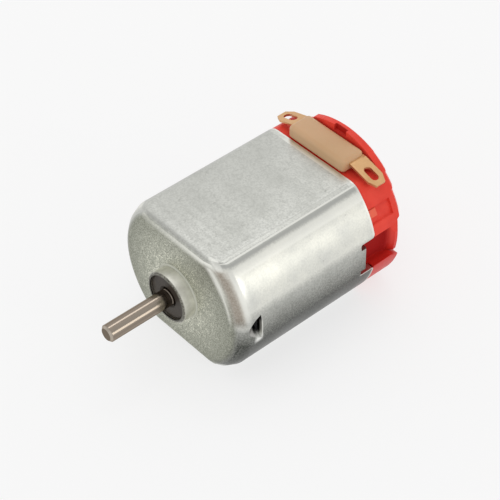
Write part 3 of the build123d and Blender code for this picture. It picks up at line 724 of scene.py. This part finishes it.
def enamelFinish():
    material, tree, shader, place = newMaterial("enamelWire")
    wave = tree.nodes.new("ShaderNodeTexWave")
    wave.bands_direction = "X"
    wave.inputs["Scale"].default_value = enamel["turns"] / enamel["turnUnit"]
    wave.inputs["Distortion"].default_value = enamel["distortion"]
    link(tree, place, wave.inputs["Vector"])
    colour = mixColour(tree, wave.outputs["Fac"], enamel["dark"], enamel["light"])
    link(tree, colour, shader.inputs["Base Color"])
    shader.inputs["Roughness"].default_value = enamel["roughness"]
    shader.inputs["Metallic"].default_value = enamel["metallic"]
    bumpNormal(tree, shader, wave.outputs["Fac"], enamel["bump"], enamel["bumpDepth"])
    return material


materials = {name: cloudedFinish(name, look)[0] for name, look in finishes.items()}
materials["zincSatin"] = zincFinish()
materials["shaftPolish"] = shaftFinish()
materials["redMoulding"] = capFinish()
materials["tanEpoxy"] = epoxyFinish()
materials["enamelWire"] = enamelFinish()
slotFinish = {
    "zinc_steel": "zincSatin", "shaft_steel": "shaftPolish", "sintered_iron": "sinteredBush",
    "ferrite": "ferriteBlock", "spring_steel": "springWire", "red_plastic": "redMoulding",
    "tan_epoxy": "tanEpoxy", "chip_ceramic": "chipCeramic", "terminal_copper": "lugCopper",
    "brush_bronze": "leafBronze", "core_steel": "coreSteel", "insulator_fibre": "fibreBoard",
    "enamel_wire": "enamelWire", "black_plastic": "hubPlastic", "commutator_copper": "segmentCopper",
    "white_nylon": "whiteNylon",
}
nodeSlot = {part["node"]: part["material_slot"] for part in frame["record"]["subparts"]}
for nodeName, node in frame["nodes"].items():
    node.data.materials.clear()
    node.data.materials.append(materials[slotFinish[nodeSlot[nodeName]]])
print("finishes on", len(nodeSlot), "nodes")


# outer pieces of the stator with softened edges, each standing for its node

softened = {
    "can": {"piece": "drawnCan", "width": 0.10 * mm, "segments": 2, "angle": 32, "smooth": 34},
    "end_cap": {"piece": "mouldedCap", "width": 0.18 * mm, "segments": 3, "angle": 28, "smooth": 34},
    "terminal_right": {"piece": "lugRight", "width": 0.05 * mm, "segments": 2, "angle": 40, "smooth": 30},
    "terminal_left": {"piece": "lugLeft", "width": 0.05 * mm, "segments": 2, "angle": 40, "smooth": 30},
    "front_bearing": {"piece": "frontBush", "width": 0.04 * mm, "segments": 2, "angle": 35, "smooth": 30},
}


def softenedPiece(nodeName, look):
    piece = mergedCopy(nodeName, look["piece"])
    softenEdges(piece, look["width"], look["segments"], look["angle"])
    smoothByAngle(piece, look["smooth"])
    weightNormals(piece)
    slotName = nodeSlot[nodeName]
    finishPiece(piece, "stator", slotName, materials[slotFinish[slotName]], nodeName)
    print("softened", look["piece"], len(piece.data.polygons), "faces")


for nodeName, look in softened.items():
    softenedPiece(nodeName, look)


# shaft: turned rings from the tip's chamfer to the rear end

turning = {"sides": 72, "radius": 1.0 * mm, "chamfer": 0.25 * mm, "ringFront": -1.68 * mm,
           "ringRear": -1.48 * mm, "ringDepth": 0.06 * mm, "merge": 0.001 * mm, "smooth": 20}


def turnedShaft():
    low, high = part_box("shaft")
    radius, chamfer = turning["radius"], turning["chamfer"]
    ringFront, ringRear = turning["ringFront"], turning["ringRear"]
    stations = [
        (low.y, radius - chamfer), (low.y + chamfer, radius), (ringFront, radius),
        ((ringFront + ringRear) / 2, radius - turning["ringDepth"]), (ringRear, radius),
        (high.y - chamfer, radius), (high.y, radius - chamfer),
    ]
    rings = []
    for (y0, r0), (y1, r1) in zip(stations, stations[1:]):
        deselectAll()
        bpy.ops.mesh.primitive_cone_add(
            vertices=turning["sides"], radius1=r0, radius2=r1, depth=y1 - y0, end_fill_type="NOTHING",
            location=(0.0, (y0 + y1) / 2, 0.0), rotation=(radians(-90), 0.0, 0.0))
        rings.append(bpy.context.object)
    for ring in rings:
        ring.select_set(True)
    bpy.context.view_layer.objects.active = rings[0]
    bpy.ops.object.join()
    piece = bpy.context.object
    piece.name = "turnedShaft"
    bpy.ops.object.transform_apply(location=True, rotation=True, scale=True)
    editAll(piece)
    bpy.ops.mesh.remove_doubles(threshold=turning["merge"])
    bpy.ops.mesh.fill_holes(sides=0)
    bpy.ops.mesh.normals_make_consistent(inside=False)
    leaveEdit()
    smoothByAngle(piece, turning["smooth"])
    return finishPiece(piece, "rotor", "shaft_steel", materials["shaftPolish"], "shaft")


turnedShaft()
print("shaft turned")


# capacitor: a dipped block, soft all round, its dip run forward almost to the can

block = {"edge": 0.58 * mm, "edgeSteps": 6, "edgeAngle": 30, "smooth": 40, "draft": 0.95, "reach": 0.33 * mm,
         "topNormal": 0.9}


def dippedBlock():
    low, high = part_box("capacitor_body")
    low = low - Vector((0.0, block["reach"], 0.0))
    middle = (low + high) / 2
    deselectAll()
    bpy.ops.mesh.primitive_cube_add(size=1.0, location=middle)
    piece = bpy.context.object
    piece.name = "dippedBlock"
    piece.scale = high - low
    bpy.ops.object.transform_apply(location=True, rotation=True, scale=True)
    pickFaces(piece, lambda face: face.normal.z > block["topNormal"])
    bpy.ops.transform.resize(value=(1.0, block["draft"], 1.0), center_override=middle)
    leaveEdit()
    softenEdges(piece, block["edge"], block["edgeSteps"], block["edgeAngle"])
    smoothByAngle(piece, block["smooth"])
    return finishPiece(piece, "stator", "tan_epoxy", materials["tanEpoxy"], "capacitor_body")


dippedBlock()
print("capacitor block done")


# floor, room and light

stageLook = {"floorSize": 3.0, "floorDrop": 0.02 * mm, "floorColour": (0.27, 0.27, 0.27), "floorGlow": 0.695,
             "floorRoughness": 0.9, "worldStrength": 1.0,
             "sky": {0.0: 1.0, 0.30: 0.95, 0.56: 0.72, 0.80: 0.72, 0.90: 0.95, 1.0: 1.05}}


def makeFloor():
    deselectAll()
    floorHeight = cadLow.z - stageLook["floorDrop"]
    bpy.ops.mesh.primitive_plane_add(size=stageLook["floorSize"], location=(0.0, 0.0, floorHeight))
    floor = bpy.context.object
    floor.name = "paleFloor"
    material = bpy.data.materials.new("paleFloor")
    material.use_nodes = True
    shader = material.node_tree.nodes["Principled BSDF"]
    shader.inputs["Base Color"].default_value = (*stageLook["floorColour"], 1.0)
    shader.inputs["Emission Color"].default_value = (1.0, 1.0, 1.0, 1.0)
    shader.inputs["Emission Strength"].default_value = stageLook["floorGlow"]
    shader.inputs["Roughness"].default_value = stageLook["floorRoughness"]
    shader.inputs["Specular IOR Level"].default_value = 0.0
    floor.data.materials.append(material)


def makeWorld():  # brightness by height: pale horizon, greyer walls, bright ceiling
    world = bpy.data.worlds.new("softRoom")
    bpy.context.scene.world = world
    world.use_nodes = True
    tree = world.node_tree
    background = tree.nodes["Background"]
    place = tree.nodes.new("ShaderNodeTexCoord")
    upward = axisValues(tree, place.outputs["Generated"])[2]
    shades = tree.nodes.new("ShaderNodeValToRGB")
    stops = shades.color_ramp.elements
    heights = sorted(stageLook["sky"])
    while len(stops) < len(heights):
        stops.new(0.5)  # each stop gets its height below
    for stop, height in zip(stops, heights):
        stop.position = height
        stop.color = (stageLook["sky"][height],) * 3 + (1.0,)
    link(tree, upward, shades.inputs["Fac"])
    link(tree, shades.outputs["Color"], background.inputs["Color"])
    background.inputs["Strength"].default_value = stageLook["worldStrength"]


lamps = {
    "lowRight": {"azimuth": 112.0, "elevation": 14.2, "distance": 0.45, "wide": 0.06, "tall": 0.18,
                 "watts": 0.072, "colour": (1.0, 0.98, 0.93)},
    "overBack": {"azimuth": 214.0, "elevation": 62.7, "distance": 0.55, "wide": 0.17, "tall": 0.10,
                 "watts": 0.11, "colour": (1.0, 1.0, 1.0)},
    "topBack": {"azimuth": 230.0, "elevation": 44.0, "distance": 0.60, "wide": 0.45, "tall": 0.45,
                "watts": 0.17, "colour": (1.0, 1.0, 1.0)},
}
lookAt = Vector((0.0, 10.0 * mm, 0.0))


def outward(azimuth, elevation):  # azimuth 0 stands in front of the shaft, 90 on the right
    a, e = radians(azimuth), radians(elevation)
    return Vector((sin(a) * cos(e), -cos(a) * cos(e), sin(e)))


def makeLamps():
    for name, lamp in lamps.items():
        data = bpy.data.lights.new(name, "AREA")
        data.shape = "RECTANGLE"
        data.size = lamp["wide"]
        data.size_y = lamp["tall"]
        data.energy = lamp["watts"]
        data.color = lamp["colour"]
        item = bpy.data.objects.new(name, data)
        bpy.context.scene.collection.objects.link(item)
        away = outward(lamp["azimuth"], lamp["elevation"])
        item.location = lookAt + away * lamp["distance"]
        item.rotation_euler = away.to_track_quat("Z", "Y").to_euler()


# camera at the photograph's angle, for a square picture

shot = {"azimuth": 49.95, "elevation": 43.10, "roll": -1.65, "distance": 180.0 * mm, "lens": 118.42,
        "sensor": 36.0, "shiftX": 0.0023, "shiftY": -0.0057, "near": 0.01, "far": 10.0}


def makeCamera():
    data = bpy.data.cameras.new("shotCamera")
    data.sensor_width = shot["sensor"]
    data.lens = shot["lens"]
    data.shift_x = shot["shiftX"]
    data.shift_y = shot["shiftY"]
    data.clip_start = shot["near"]
    data.clip_end = shot["far"]
    camera = bpy.data.objects.new("shotCamera", data)
    bpy.context.scene.collection.objects.link(camera)
    back = outward(shot["azimuth"], shot["elevation"])
    a = radians(shot["azimuth"])
    right = Vector((cos(a), sin(a), 0.0))
    up = back.cross(right)
    r = radians(shot["roll"])
    right, up = right * cos(r) + up * sin(r), up * cos(r) - right * sin(r)
    turn = Matrix((right, up, back)).transposed().to_4x4()
    camera.matrix_world = Matrix.Translation(lookAt + back * shot["distance"]) @ turn
    bpy.context.scene.camera = camera


makeFloor()
makeWorld()
makeLamps()
makeCamera()
bpy.context.scene.view_settings.view_transform = "Standard"
print("stage, lamps and camera set")
